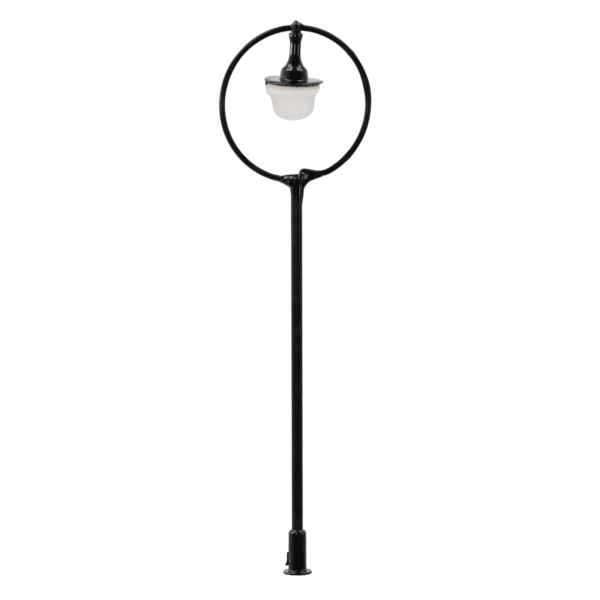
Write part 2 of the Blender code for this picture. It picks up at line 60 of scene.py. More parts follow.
def roundOver(centre, radii, startAngle, endAngle, count):
    turns = [math.radians(startAngle + (endAngle - startAngle) * i / count) for i in range(count + 1)]
    return [(centre[0] + radii[0] * math.cos(a), centre[1] + radii[1] * math.sin(a)) for a in turns]


def between(start, end, share):
    return tuple(a + (b - a) * share for a, b in zip(start, end))


def straight(start, end, count):
    return [between(start, end, i / count) for i in range(1, count + 1)]


def spinProfile(name, profile, steps):
    # a single point is drawn out along the half section, then spun about the upright axis
    clearSelection()
    bpy.ops.mesh.primitive_plane_add(size=1)
    piece = bpy.context.object
    piece.name = name
    bpy.ops.object.mode_set(mode="EDIT")
    bpy.ops.mesh.select_all(action="SELECT")
    bpy.ops.mesh.merge(type="CENTER")
    bpy.ops.transform.translate(value=(profile[0][0], 0, profile[0][1]))
    for (radius, height), (nextRadius, nextHeight) in zip(profile, profile[1:]):
        move = {"value": (nextRadius - radius, 0, nextHeight - height)}
        bpy.ops.mesh.extrude_region_move(TRANSFORM_OT_translate=move)
    bpy.ops.mesh.select_all(action="SELECT")
    bpy.ops.mesh.spin(steps=steps, angle=2 * math.pi, center=(0, 0, 0), axis=(0, 0, 1), use_auto_merge=True)
    closeSeams()
    return piece


def closeSeams():
    bpy.ops.mesh.select_all(action="SELECT")
    bpy.ops.mesh.remove_doubles(threshold=0.0005)
    bpy.ops.mesh.normals_make_consistent(inside=False)
    bpy.ops.object.mode_set(mode="OBJECT")


def sweepPath(name, path, thickness, sides, swells=None):
    # a curve with a round bevel, made a mesh
    clearSelection()
    bpy.ops.curve.primitive_bezier_curve_add()
    piece = bpy.context.object
    piece.name = name
    curve = piece.data
    curve.splines.clear()
    line = curve.splines.new("POLY")
    line.points.add(len(path) - 1)
    for i, place in enumerate(path):
        line.points[i].co = (*place, 1)
        line.points[i].radius = swells[i] if swells else 1
    curve.bevel_depth = thickness / 2
    curve.bevel_resolution = sides // 2 - 2
    curve.use_fill_caps = True
    bpy.ops.object.convert(target="MESH")
    bpy.ops.object.mode_set(mode="EDIT")
    closeSeams()
    return bpy.context.object


def ball(place, radii, lean=0):
    # a ball pulled out along its own axes, then leaned in the hoop's plane
    clearSelection()
    bpy.ops.mesh.primitive_uv_sphere_add(segments=32, ring_count=20, radius=1, location=(0, 0, 0))
    piece = bpy.context.object
    bpy.ops.object.mode_set(mode="EDIT")
    bpy.ops.mesh.select_all(action="SELECT")
    bpy.ops.transform.resize(value=radii, center_override=(0, 0, 0))
    bpy.ops.object.mode_set(mode="OBJECT")
    piece.matrix_world = Matrix.Translation(place) @ Matrix.Rotation(math.radians(lean), 4, "Y")
    bpy.ops.object.transform_apply(location=True, rotation=True, scale=True)
    return piece


def flowTogether(name, parts, grain, passes):
    # the parts run into each other as molten solder or wet paint does
    clearSelection()
    for part in parts:
        part.select_set(True)
    bpy.context.view_layer.objects.active = parts[0]
    bpy.ops.object.join()
    piece = bpy.context.object
    piece.name = name
    flow = piece.modifiers.new("flow", "REMESH")
    flow.mode = "VOXEL"
    flow.voxel_size = grain
    settle = piece.modifiers.new("settle", "SMOOTH")
    settle.factor = 0.5
    settle.iterations = passes
    bpy.ops.object.modifier_apply(modifier="flow")
    bpy.ops.object.modifier_apply(modifier="settle")
    return piece


def handFinish(piece, depth, grain, seed):
    # low swells and hollows left by the brush
    shift = Vector((seed, 2 * seed, 3 * seed))
    moves = [v.normal * depth * noise.noise(v.co / grain + shift) for v in piece.data.vertices]
    for vertex, move in zip(piece.data.vertices, moves):
        vertex.co += move


def seatPiece(piece, body, nodes, material, place=None, crease=50):
    # shrinks the piece into the frame, with its place in its mesh, and hands it to its body
    pickOnly(piece)
    piece.matrix_world = Matrix.Scale(mm, 4) @ (place or Matrix.Identity(4)) @ piece.matrix_world
    bpy.ops.object.transform_apply(location=True, rotation=True, scale=True)
    bpy.ops.object.shade_smooth_by_angle(angle=math.radians(crease))
    piece.data.materials.clear()
    piece.data.materials.append(material)
    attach(piece, body)
    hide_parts(*nodes)
    print("made", piece.name, "with", len(piece.data.polygons), "faces")


# finishes

def linear(hexColour):
    parts = [int(hexColour[i : i + 2], 16) / 255 for i in (1, 3, 5)]
    return tuple(c / 12.92 if c <= 0.04045 else ((c + 0.055) / 1.055) ** 2.4 for c in parts) + (1,)


def addNode(tree, kind, sockets=None, **settings):
    node = tree.nodes.new(kind)
    for name, value in settings.items():
        setattr(node, name, value)
    for name, value in (sockets or {}).items():
        if isinstance(value, bpy.types.NodeSocket):
            tree.links.new(value, node.inputs[name])
        else:
            node.inputs[name].default_value = value
    return node


def startFinish(name, **sockets):
    material = bpy.data.materials.new(name)
    material.use_nodes = True
    tree = material.node_tree
    shader = tree.nodes["Principled BSDF"]
    for socket, value in sockets.items():
        shader.inputs[socket.replace("_", " ")].default_value = value
    place = addNode(tree, "ShaderNodeTexCoord").outputs["Object"]
    return material, tree, shader, place


def paintFinish(name, look):
    # cellulose enamel brushed over brass: black, wet-looking, with brush swells and a warm cast where it is thin
    material, tree, shader, place = startFinish(name, Specular_IOR_Level=look["shine"])
    thin = addNode(tree, "ShaderNodeTexNoise", {"Vector": place, "Scale": 1 / (look["patch"] * mm), "Detail": 3})
    share = addNode(
        tree, "ShaderNodeMapRange", {"Value": thin.outputs["Fac"], "From Min": 0.5, "From Max": 0.72}
    )
    tint = addNode(
        tree,
        "ShaderNodeMix",
        {"Factor": share.outputs["Result"], 6: linear(look["colour"]), 7: linear(look["thinColour"])},
        data_type="RGBA",
    )
    tree.links.new(tint.outputs[2], shader.inputs["Base Color"])
    film = addNode(tree, "ShaderNodeTexNoise", {"Vector": place, "Scale": 1 / (look["swell"] * mm), "Detail": 0})
    gloss = addNode(
        tree,
        "ShaderNodeMapRange",
        {
            "Value": film.outputs["Fac"],
            "From Min": 0.3,
            "From Max": 0.7,
            "To Min": look["roughness"][0],
            "To Max": look["roughness"][1],
        },
    )
    tree.links.new(gloss.outputs["Result"], shader.inputs["Roughness"])
    fine = addNode(tree, "ShaderNodeTexNoise", {"Vector": place, "Scale": 1 / (look["grit"] * mm), "Detail": 4})
    swells = addNode(
        tree,
        "ShaderNodeBump",
        {"Height": film.outputs["Fac"], "Strength": look["swellBump"], "Distance": look["swellDepth"] * mm},
    )
    skin = addNode(
        tree,
        "ShaderNodeBump",
        {
            "Height": fine.outputs["Fac"],
            "Strength": look["gritBump"],
            "Distance": look["gritDepth"] * mm,
            "Normal": swells.outputs["Normal"],
        },
    )
    tree.links.new(skin.outputs["Normal"], shader.inputs["Normal"])
    return material


glossLook = {
    "colour": "#0A0A0A",
    "thinColour": "#17120E",
    "patch": 1.6,
    "swell": 0.9,
    "swellBump": 0.25,
    "swellDepth": 0.03,
    "grit": 0.09,  # dust nibs
    "gritBump": 0.015,
    "gritDepth": 0.004,
    "roughness": (0.06, 0.13),
    "shine": 0.5,
}
satinLook = dict(glossLook, colour="#0E0D0C", thinColour="#1E1712", patch=2.2, swell=1.1)
satinLook.update(roughness=(0.22, 0.32), shine=0.24)
glossEnamel = paintFinish("black_enamel_gloss", glossLook)
satinEnamel = paintFinish("black_enamel_satin", satinLook)


def opalFinish():
    # opal acrylic, moulded and tumbled: milky, with light going right through the wall; near the top the colour is
    #     painted darker and warmer, a painted shade standing in for the disc's shadow and the brass seat's light
    #     showing through
    material, tree, shader, place = startFinish(
        "opal_acrylic",
        IOR=1.49,
        Specular_IOR_Level=0.35,
        Subsurface_Weight=1.0,
        Subsurface_Radius=(1.0, 0.95, 0.9),
        Subsurface_Scale=0.35 * mm,
    )
    cloud = addNode(tree, "ShaderNodeTexNoise", {"Vector": place, "Scale": 1 / (2.5 * mm), "Detail": 3})
    tint = addNode(
        tree,
        "ShaderNodeMix",
        {"Factor": cloud.outputs["Fac"], 6: linear("#EDEAE9"), 7: linear("#E4E0DC")},
        data_type="RGBA",
    )
    # painted shade: the globe's top is tinted darker and warmer, standing in for the disc's shadow and the brass
    # seat's light through the wall
    parts = addNode(tree, "ShaderNodeSeparateXYZ", {"Vector": place})
    paintedShadeShare = addNode(
        tree,
        "ShaderNodeMapRange",
        {"Value": parts.outputs["Z"], "From Min": 68.9 * mm, "From Max": 69.8 * mm, "To Max": 0.8},
        interpolation_type="SMOOTHSTEP",
    )
    paintedShadeTint = addNode(
        tree,
        "ShaderNodeMix",
        {"Factor": paintedShadeShare.outputs["Result"], 6: tint.outputs[2], 7: linear("#CFC3B3")},
        data_type="RGBA",
    )
    tree.links.new(paintedShadeTint.outputs[2], shader.inputs["Base Color"])
    scuff = addNode(tree, "ShaderNodeTexNoise", {"Vector": place, "Scale": 1 / (0.6 * mm), "Detail": 2})
    haze = addNode(
        tree, "ShaderNodeMapRange", {"Value": scuff.outputs["Fac"], "To Min": 0.38, "To Max": 0.55}
    )
    tree.links.new(haze.outputs["Result"], shader.inputs["Roughness"])
    skin = addNode(
        tree,
        "ShaderNodeBump",
        {"Height": scuff.outputs["Fac"], "Strength": 0.12, "Distance": 0.01 * mm},
    )
    tree.links.new(skin.outputs["Normal"], shader.inputs["Normal"])
    return material


def turnedMetal(name, colours, roughness, pitch):
    # bare metal off the lathe: fine rings left by the tool, and a little tarnish between them
    material, tree, shader, place = startFinish(name, Metallic=1.0)
    rings = addNode(
        tree,
        "ShaderNodeTexWave",
        {"Vector": place, "Scale": 1 / (6.4 * pitch * mm), "Distortion": 0.6, "Detail": 2},
        wave_type="BANDS",
        bands_direction="Z",
    )
    tarnish = addNode(tree, "ShaderNodeTexNoise", {"Vector": place, "Scale": 1 / (0.8 * mm), "Detail": 4})
    tint = addNode(
        tree,
        "ShaderNodeMix",
        {"Factor": tarnish.outputs["Fac"], 6: linear(colours[0]), 7: linear(colours[1])},
        data_type="RGBA",
    )
    tree.links.new(tint.outputs[2], shader.inputs["Base Color"])
    dull = addNode(
        tree,
        "ShaderNodeMapRange",
        {"Value": tarnish.outputs["Fac"], "To Min": roughness[0], "To Max": roughness[1]},
    )
    tree.links.new(dull.outputs["Result"], shader.inputs["Roughness"])
    skin = addNode(
        tree, "ShaderNodeBump", {"Height": rings.outputs["Fac"], "Strength": 0.3, "Distance": 0.006 * mm}
    )
    tree.links.new(skin.outputs["Normal"], shader.inputs["Normal"])
    return material


def bulbGlassFinish():
    # blown soda glass: clear, with slow waves from the flame
    material, tree, shader, place = startFinish(
        "blown_soda_glass", Base_Color=linear("#F4F8F7"), Roughness=0.03, IOR=1.52, Transmission_Weight=1.0
    )
    waves = addNode(tree, "ShaderNodeTexNoise", {"Vector": place, "Scale": 1 / (0.9 * mm), "Detail": 1})
    skin = addNode(
        tree, "ShaderNodeBump", {"Height": waves.outputs["Fac"], "Strength": 0.15, "Distance": 0.02 * mm}
    )
    tree.links.new(skin.outputs["Normal"], shader.inputs["Normal"])
    return material


def sleeveFinish():
    # drawn polymer insulation: off-white and waxy
    material, tree, shader, place = startFinish("insulating_sleeve", IOR=1.4, Roughness=0.45)
    stain = addNode(tree, "ShaderNodeTexNoise", {"Vector": place, "Scale": 1 / (0.6 * mm), "Detail": 3})
    tint = addNode(
        tree,
        "ShaderNodeMix",
        {"Factor": stain.outputs["Fac"], 6: linear("#DED9CC"), 7: linear("#C3BCA9")},
        data_type="RGBA",
    )
    tree.links.new(tint.outputs[2], shader.inputs["Base Color"])
    return material


opalAcrylic = opalFinish()
turnedBrass = turnedMetal("turned_brass", ("#D9B46A", "#A57C3C"), (0.2, 0.42), 0.05)
nickelWire = turnedMetal("drawn_nickel_wire", ("#B9B4AA", "#8F897E"), (0.22, 0.4), 0.08)
tungstenWire = turnedMetal("drawn_tungsten", ("#6B6866", "#4A4847"), (0.3, 0.5), 0.02)
enamelledCopper = turnedMetal("enamelled_copper", ("#B4633A", "#8A4322"), (0.15, 0.3), 0.1)
bulbGlass = bulbGlassFinish()
insulation = sleeveFinish()
print("finishes ready")


# foot

footPlate = {"radius": 2.05, "thickness": 0.3, "hole": 0.77, "edge": 0.14, "wave": 0.15, "waveLength": 0.95}


def makeFootPlate(size):
    outer = size["radius"] - size["edge"]
    top = size["thickness"]
    middle = top / 2
    profile = [(size["hole"], 0)] + straight((size["hole"], 0), (size["radius"], 0), 6)
    profile += roundOver((outer, middle), (size["edge"], middle), 0, 90, 8)
    profile += straight((outer, top), (size["hole"], top), 8) + [(size["hole"], 0)]
    piece = spinProfile("footPlate", profile, 120)
    for vertex in piece.data.vertices:
        reach = Vector((vertex.co.x, vertex.co.y)).length
        share = max(0, reach - 1.25) / (size["radius"] - 1.25)
        wave = noise.noise(Vector((vertex.co.x, vertex.co.y, 3.0)) / size["waveLength"])
        if vertex.co.z > middle:
            vertex.co.z += size["wave"] * share * wave
        vertex.co.xy *= 1 + 0.02 * share * noise.noise(Vector((vertex.co.x, vertex.co.y, 9.0)) / 1.2)
    seatPiece(piece, "post", ["foot_flange"], glossEnamel)


footTube = {
    "radius": 1.31,
    "topRadius": 1.275,
    "bore": 0.74,
    "bottom": 0.3,
    "top": 6.22,
    "shoulder": (0.42, 0.55),
    "fillet": 0.26,
    "mast": 0.8,
}


def makeFootTube(size):
    wall, upper, foot, fillet, mastSide = (size[key] for key in ("radius", "topRadius", "bottom", "fillet", "mast"))
    across, down = size["shoulder"]
    neck = size["top"] - down
    profile = [(size["bore"], foot), (wall + fillet, foot)]
    corner = (wall + 0.2 * fillet, foot)
    profile += bend(profile[-1], corner, (wall, foot + fillet), (wall, foot + 2 * fillet), 6)
    profile += straight(profile[-1], (upper, neck), 24)
    profile += roundOver((upper - across, neck), (across, down), 0, 80, 12)[1:]
    rim = size["top"] + 0.14
    profile += bend(profile[-1], (mastSide + 0.03, size["top"]), (mastSide + 0.01, size["top"]), (mastSide, rim), 5)
    profile += [(size["bore"], rim), (size["bore"], foot)]
    piece = spinProfile("footTube", profile, 96)
    handFinish(piece, 0.02, 1.1, 4)
    seatPiece(piece, "post", ["foot_sleeve"], glossEnamel)


wireStub = {"wire": 0.24, "top": 3.0, "bead": 0.46, "beadHeight": 1.2, "face": 1.3, "angle": 170}


def makeWireStub(size):
    beside = size["face"] + size["wire"] / 2
    out = size["face"] + size["bead"] / 2
    low = size["beadHeight"]
    turn = Matrix.Rotation(math.radians(size["angle"]), 4, "Z")
    path = [(beside - 0.05, 0, size["top"]), (beside, 0, low + 1.2), (beside, 0, low + 0.6), (out, 0, low)]
    wire = sweepPath("wire", path, size["wire"], 16)
    half = size["bead"] / 2
    bead = ball((out, 0, low), (half, half, 1.05 * half))
    wetting = ball((size["face"] - 0.02, 0, low + 0.9), (0.1, 0.2, 1.0))
    piece = flowTogether("wireStub", [wire, bead, wetting], 0.025, 4)
    seatPiece(piece, "post", ["return_tail"], glossEnamel, turn)


# mast

mast = {"radius": 0.8, "bore": 0.47, "bottom": 0.05, "top": 55.1, "uneven": 0.007}


def makeMast(size):
    count = 110
    heights = [size["bottom"] + (size["top"] - size["bottom"]) * i / count for i in range(count + 1)]
    profile = [(size["bore"], size["bottom"])]
    profile += [(size["radius"] + size["uneven"] * noise.noise(Vector((0, 0, z / 1.7))), z) for z in heights]
    profile += [(size["bore"], size["top"]), (size["bore"], size["bottom"])]
    piece = spinProfile("mastTube", profile, 64)
    handFinish(piece, size["uneven"], 1.4, 11)
    seatPiece(piece, "post", ["mast_tube"], satinEnamel)


# hoop

hoop = {
    "width": 20.72,
    "height": 21.4,
    "offset": -0.13,
    "bottom": 56.22,
    "tube": 0.87,  # with its paint
    "plug": 54.0,
    "mouth": 54.9,
    "rootAngle": 6.8,
    "rootPull": 0.55,
    "lapAngle": 28,
    "lapPull": (0.49, 0.245),
    "lapReach": 1.05,
    "lapRise": 1.2,
    "tip": 0.3,
    "tipDrop": 0.72,
    # thick and thin places: angle round from the right, spread in degrees, change of thickness
    "spots": ((13, 9, 0.17), (40, 2.5, 0.08), (136, 10, -0.07), (316, 3, 0.09)),
}


def hoopPoint(size, turn):
    # turn is the angle from the lowest point, up the left side
    angle = math.radians(turn)
    middle = size["bottom"] + size["height"] / 2
    return (size["offset"] - size["width"] / 2 * math.sin(angle), middle - size["height"] / 2 * math.cos(angle))


def rootBend(size):
    end = hoopPoint(size, size["rootAngle"])
    slope = math.radians(size["rootAngle"])
    pull = -size["rootPull"] * end[0]
    mouthHandle = (0, size["mouth"] + size["rootPull"] * (size["bottom"] - size["mouth"]))
    endHandle = (end[0] + pull * math.cos(slope), end[1] - pull * math.sin(slope))
    return bend((0, size["mouth"]), mouthHandle, endHandle, end, 20)


def lapEnd(size):
    start = hoopPoint(size, -size["lapAngle"])
    slope = math.radians(size["lapAngle"])
    crest = (size["lapReach"], size["bottom"] + size["lapRise"])
    startPull, crestPull = (share * (start[0] - crest[0]) for share in size["lapPull"])
    tip = (crest[0] - size["tip"], crest[1] - size["tipDrop"])
    startHandle = (start[0] - startPull * math.cos(slope), start[1] - startPull * math.sin(slope))
    climb = bend(start, startHandle, (crest[0] + crestPull, crest[1]), crest, 24)
    dip = bend(crest, (crest[0] - size["tip"], crest[1]), (tip[0], crest[1] - 0.26), tip, 14)
    return climb, dip


def makeHoop(size):
    count = 240
    first = size["rootAngle"]
    last = 360 - size["lapAngle"]
    climb, dip = lapEnd(size)
    path = [(0, size["plug"]), (0, size["mouth"])] + rootBend(size)
    turns = [first + (last - first) * i / count for i in range(1, count + 1)]
    swells = [1] * len(path)
    for turn in turns:
        path.append(hoopPoint(size, turn))
        bearing = (270 - turn) % 360  # the same place as an angle from the right
        swell = 1 + 0.015 * noise.noise(Vector((turn / 6, 0, 5)))
        for angle, spread, change in size["spots"]:
            away = (bearing - angle + 180) % 360 - 180
            swell += change * math.exp(-((away / spread) ** 2))
        swells.append(swell)
    path += climb + dip
    swells += [1] * len(climb)
    swells += [1 - 0.1 * i / len(dip) for i in range(1, len(dip) + 1)]
    piece = sweepPath("hoopTube", [(x, 0, z) for x, z in path], size["tube"], 24, swells)
    handFinish(piece, 0.012, 0.8, 7)
    seatPiece(piece, "post", ["ring_tube"], satinEnamel)


# solder

rootSolder = {
    "grain": 0.036,
    "passes": 22,
    "steps": 12,  # dabs of solder between two places of a run
    # places along each run (across, up), with half width and half depth
    "leftRun": (
        (-2.9, 56.66, 0.41, 0.41),
        (-2.2, 56.41, 0.47, 0.44),
        (-1.6, 56.24, 0.6, 0.6),
        (-1.05, 56.06, 0.73, 0.78),
        (-0.55, 55.8, 0.8, 0.84),
        (-0.25, 55.6, 0.85, 0.84),
        (-0.08, 55.05, 0.84, 0.8),
        (0, 54.4, 0.82, 0.82),
        (0, 53.5, 0.805, 0.805),
        (0, 52.9, 0.79, 0.79),
        (0, 52.5, 0.74, 0.74),
    ),
    "topRun": (
        (-2.0, 56.55, 0.38, 0.36),
        (-1.4, 56.6, 0.42, 0.38),
        (-0.9, 56.65, 0.43, 0.4),
        (-0.3, 56.66, 0.43, 0.42),
        (0.2, 56.68, 0.42, 0.42),
    ),
    "column": ((0, 54.6, 0.81, 0.81), (0, 55.5, 0.8, 0.82), (-0.04, 56.2, 0.73, 0.78)),
    "rightRun": (
        (3.5, 57.0, 0.42, 0.42),
        (2.9, 56.82, 0.47, 0.44),
        (2.6, 56.75, 0.48, 0.44),
        (2.2, 56.61, 0.51, 0.45),
        (1.85, 56.53, 0.52, 0.45),
        (1.35, 56.28, 0.58, 0.46),
        (0.85, 55.86, 0.66, 0.52),
        (0.47, 55.3, 0.7, 0.6),
        (0.3, 54.7, 0.76, 0.62),
        (0.22, 53.9, 0.78, 0.62),
        (0.12, 53.2, 0.765, 0.62),
        (0.02, 52.6, 0.735, 0.62),
    ),
    "lappedEnd": (
        (3.1, 57.0, 0.42, 0.42),
        (2.4, 57.08, 0.43, 0.43),
        (1.7, 57.2, 0.435, 0.44),
        (1.1, 57.35, 0.44, 0.46),
        (0.86, 57.26, 0.44, 0.46),
        (0.68, 56.95, 0.42, 0.46),
        (0.5, 56.6, 0.4, 0.5),
    ),
    "web": ((1.5, 56.75, 0.5, 0.26), (0.9, 56.5, 0.5, 0.3)),  # thin filling under the lapped end
    # solder on the front: start and end of each run (across, outwards, up, half width, half depth)
    "frontRuns": (
        ((-0.04, -0.48, 55.0, 0.56, 0.34), (-0.04, -0.62, 56.42, 0.5, 0.3)),  # lump over the mast's mouth
        ((0.88, -0.58, 56.95, 0.12, 0.12), (0.84, -0.58, 56.2, 0.14, 0.14)),
        ((2.0, -0.3, 56.75, 0.14, 0.14), (1.75, -0.32, 56.5, 0.18, 0.18)),
    ),
    # flat places the iron left: upper and lower edge of each, as runs
    "flats": (
        (
            ((-1.93, -0.09, 56.6, 0.2, 0.2), (-1.28, -0.42, 56.69, 0.2, 0.2)),
            ((-2.0, -0.29, 56.38, 0.2, 0.2), (-1.35, -0.615, 56.47, 0.2, 0.2)),
        ),
        (
            ((-1.08, -0.22, 56.64, 0.2, 0.2), (-0.63, -0.45, 56.7, 0.2, 0.2)),
            ((-1.15, -0.42, 56.42, 0.2, 0.2), (-0.7, -0.645, 56.48, 0.2, 0.2)),
        ),
        (
            ((0.55, -0.42, 57.0, 0.36, 0.36), (1.4, -0.05, 57.0, 0.36, 0.36)),
            ((0.45, -0.46, 56.4, 0.36, 0.36), (1.3, -0.09, 56.4, 0.36, 0.36)),
        ),
    ),
    "flatRows": 4,
}


def dabRun(places, steps):
    dabs = []
    for start, end in zip(places, places[1:]):
        for i in range(steps):
            across, up, width, depth = between(start, end, i / steps)
            dabs.append(ball((across, 0, up), (width, depth, width)))
    return dabs


def makeRootSolder(size):
    parts = []
    for run in ("leftRun", "topRun", "column", "rightRun", "lappedEnd", "web"):
        parts += dabRun(size[run], size["steps"])
    runs = list(size["frontRuns"])
    for upper, lower in size["flats"]:
        for i in range(size["flatRows"] + 1):
            runs.append([between(a, b, i / size["flatRows"]) for a, b in zip(upper, lower)])
    for start, end in runs:
        for i in range(size["steps"] + 1):
            *place, width, depth = between(start, end, i / size["steps"])
            parts.append(ball(place, (width, depth, depth)))
    piece = flowTogether("rootSolder", parts, size["grain"], size["passes"])
    handFinish(piece, 0.022, 0.9, 2)
    seatPiece(piece, "post", ["root_solder"], glossEnamel)


topSolder = {"height": 77.62, "neck": 0.66, "drop": 0.74, "grain": 0.04, "passes": 8}


def makeTopSolder(size):
    level = size["height"]
    neck = spinProfile("neck", [(0, level - size["drop"]), (size["neck"] + 0.05, level - size["drop"]), (size["neck"], level), (0, level)], 48)
    parts = [
        neck,
        ball((-0.02, 0, level + 0.13), (0.72, 0.78, 0.72)),
        ball((-0.04, 0, level + 0.7), (0.35, 0.4, 0.35)),  # the peak drawn up by the iron
        ball((0.55, 0, level + 0.38), (0.82, 0.5, 0.31), 24),  # solder pulled along the right of the hoop
        ball((-0.55, 0, level + 0.05), (0.5, 0.48, 0.46)),
    ]
    piece = flowTogether("topSolder", parts, size["grain"], size["passes"])
    handFinish(piece, 0.02, 0.7, 6)
    seatPiece(piece, "post", ["top_solder"], glossEnamel)


# lamp, drawn about its own axis and hung from the top of the hoop

lampHang = {"height": 77.62, "lean": 2.2, "tilt": 2.0}
lampPlace = (
    Matrix.Translation((0, 0, lampHang["height"]))
    @ Matrix.Rotation(math.radians(lampHang["lean"]), 4, "Y")
    @ Matrix.Rotation(math.radians(lampHang["tilt"]), 4, "X")
)

stem = {
    "top": -0.73,
    "foot": -7.2,
    "collar": (0.98, -1.15),
    "collarRound": 0.15,
    "neck": (0.78, -2.3),
    "waist": (0.78, -3.4),
    "shoulder": (1.38, -5.39),
    "brow": (1.69, -5.7),
    "corner": (1.855, -5.98),
    "bell": (1.98, -6.7),
    "pool": 0.33,  # paint lying in the corner on the disc
    "spigot": 0.75,
    "spigotEnd": -8.03,
    "bore": 0.29,
}


def makeStem(size):
    top, foot, bore, edge = (size[key] for key in ("top", "foot", "bore", "collarRound"))
    collar, neck, waist, shoulder = (size[key] for key in ("collar", "neck", "waist", "shoulder"))
    brow, corner, bell = (size[key] for key in ("brow", "corner", "bell"))
    profile = [(bore, top), (collar[0] - edge, top)]
    profile += roundOver((collar[0] - edge, top - edge), (edge, edge), 90, 0, 6)[1:] + [collar]
    profile += bend(collar, (collar[0], collar[1] - 0.17), (neck[0] + 0.01, neck[1] + 0.55), neck, 12)
    profile += straight(neck, waist, 6)
    profile += bend(waist, (waist[0], waist[1] - 1.0), (shoulder[0] - 0.26, shoulder[1] + 0.31), shoulder, 18)
    profile += bend(shoulder, (shoulder[0] + 0.1, shoulder[1] - 0.1), (brow[0] - 0.09, brow[1] + 0.09), brow, 10)
    profile += bend(brow, (brow[0] + 0.08, brow[1] - 0.08), (corner[0] - 0.025, corner[1] + 0.14), corner, 8)
    profile += straight(corner, bell, 6)
    lap = (bell[0] + size["pool"], foot - 0.01)
    profile += bend(bell, (bell[0] + 0.02, foot + 0.15), (bell[0] + 0.08, foot + 0.01), lap, 12)
    profile += [(size["spigot"], foot), (size["spigot"], size["spigotEnd"]), (bore, size["spigotEnd"]), (bore, top)]
    piece = spinProfile("stemBell", profile, 96)
    handFinish(piece, 0.01, 0.8, 3)
    seatPiece(piece, "post", ["lamp_stem"], glossEnamel, lampPlace)


shade = {
    "top": -7.22,
    "under": -7.76,
    "radius": 4.14,
    "rim": 0.12,
    "rimRise": 0.1,  # the underside lifts this much towards the rim
    "flat": 1.93,
    "hole": 0.77,
    # where the edge is bent up: degrees round from the right, how far in it starts, how much
    "bends": ((140, 0.55, 0.24), (-15, 0.2, 0.13)),
    # paint drips on the edge: degrees round from the right, width, how far they hang
    "drips": ((186, 0.14, 0.42), (259, 0.26, 0.06), (266, 0.2, 0.16), (277, 0.3, 0.1), (285, 0.18, 0.14)),
    "grain": 0.042,
}


def makeShade(size):
    rim = size["rim"]
    edge = size["radius"] - rim
    under = size["under"]
    lifted = under + size["rimRise"]
    profile = [(size["hole"], under)] + straight((size["hole"], under), (edge - 0.7, under), 8)
    profile += bend(profile[-1], (edge - 0.35, under), (edge - 0.2, lifted), (edge, lifted), 6)
    profile += roundOver((edge, lifted + rim), (rim, rim), -90, 62, 12)[1:]
    shoulder = (profile[-1][0] - 0.34, profile[-1][1] + 0.18)
    slope = (size["flat"] + 0.55 * (edge - size["flat"]), size["top"])
    profile += bend(profile[-1], shoulder, slope, (size["flat"], size["top"]), 14)
    profile += [(size["hole"], size["top"]), (size["hole"], size["under"])]
    disc = spinProfile("disc", profile, 160)
    for angle, start, lift in size["bends"]:
        way = math.radians(angle)
        for vertex in disc.data.vertices:
            along = (vertex.co.x * math.cos(way) + vertex.co.y * math.sin(way)) / size["radius"]
            vertex.co.z += lift * (max(0, along - start) / (1 - start)) ** 1.4
    parts = [disc]
    for angle, width, hang in size["drips"]:
        way = math.radians(angle)
        reach = edge + rim - 0.8 * width
        place = (reach * math.cos(way), reach * math.sin(way), lifted + rim - hang / 2)
        parts.append(ball(place, (width, width, hang / 2 + 0.13)))
    piece = flowTogether("shadeDisc", parts, size["grain"], 5)
    handFinish(piece, 0.015, 0.7, 8)
    seatPiece(piece, "post", ["shade_disc"], glossEnamel, lampPlace)


globe = {
    "top": -7.8,
    "bottom": -13.0,
    "mouth": 3.04,
    "wall": 0.28,
    "body": 3.11,
    "lip": 0.67,
    "lipDrop": 0.66,
    "lipFall": 0.88,
    "roundRadius": 2.92,
    "roundHeight": 2.2,
    "fullness": 0.89,  # under 1 the bottom is fuller than an ellipse
    "spare": 0.5,  # lip drawn too tall, then trimmed level with the disc
    "crooked": -5.0,  # sits askew on its seat
    "pivot": -9.9,
}


def makeGlobe(size):
    top = size["top"] + size["spare"]
    widest = size["top"] - size["lipDrop"]
    widestRadius = size["body"] + size["lip"]
    roundTop = size["bottom"] + size["roundHeight"]
    outside = (size["roundRadius"], size["roundHeight"])
    inside = (outside[0] - size["wall"], outside[1] - size["wall"])
    full = size["fullness"]
    quarter = [math.radians(90 * i / 24) for i in range(25)]
    bowl = [(math.cos(a) ** full, roundTop - math.sin(a) ** full) for a in quarter]
    profile = [(inside[0] * x, roundTop - inside[1] * (roundTop - z)) for x, z in reversed(bowl)]
    profile += bend(profile[-1], (inside[0] + 0.08, roundTop + 0.9), (size["mouth"], widest - 0.9), (size["mouth"], widest), 8)
    profile += straight(profile[-1], (size["mouth"], top), 5)
    profile += [(widestRadius - 0.16, top)]
    profile += bend(profile[-1], (widestRadius - 0.03, top - 0.2), (widestRadius, widest + 0.3), (widestRadius, widest), 10)
    profile += roundOver((size["body"] + 0.02, widest), (size["lip"] - 0.02, size["lipFall"]), 0, -78, 12)[1:]
    profile += bend(profile[-1], (size["body"] + 0.05, widest - 1.1), (outside[0] + 0.06, roundTop + 0.8), (outside[0], roundTop), 12)
    profile += [(outside[0] * x, roundTop - outside[1] * (roundTop - z)) for x, z in bowl[1:]]
    piece = spinProfile("globeBowl", profile, 128)
    handFinish(piece, 0.02, 1.3, 9)
    pickOnly(piece)
    pivot = Vector((0, 0, size["pivot"]))
    askew = Matrix.Translation(pivot) @ Matrix.Rotation(math.radians(size["crooked"]), 4, "Y") @ Matrix.Translation(-pivot)
    piece.matrix_world = askew
    bpy.ops.object.transform_apply(location=True, rotation=True, scale=True)
    bpy.ops.object.mode_set(mode="EDIT")
    bpy.ops.mesh.select_all(action="SELECT")
    bpy.ops.mesh.bisect(plane_co=(0, 0, size["top"]), plane_no=(0, 0, 1), use_fill=False, clear_outer=True)
    bpy.ops.mesh.select_all(action="DESELECT")
    bpy.ops.mesh.select_non_manifold()
    bpy.ops.mesh.bridge_edge_loops()
    closeSeams()
    seatPiece(piece, "globe", ["globe"], opalAcrylic, lampPlace)


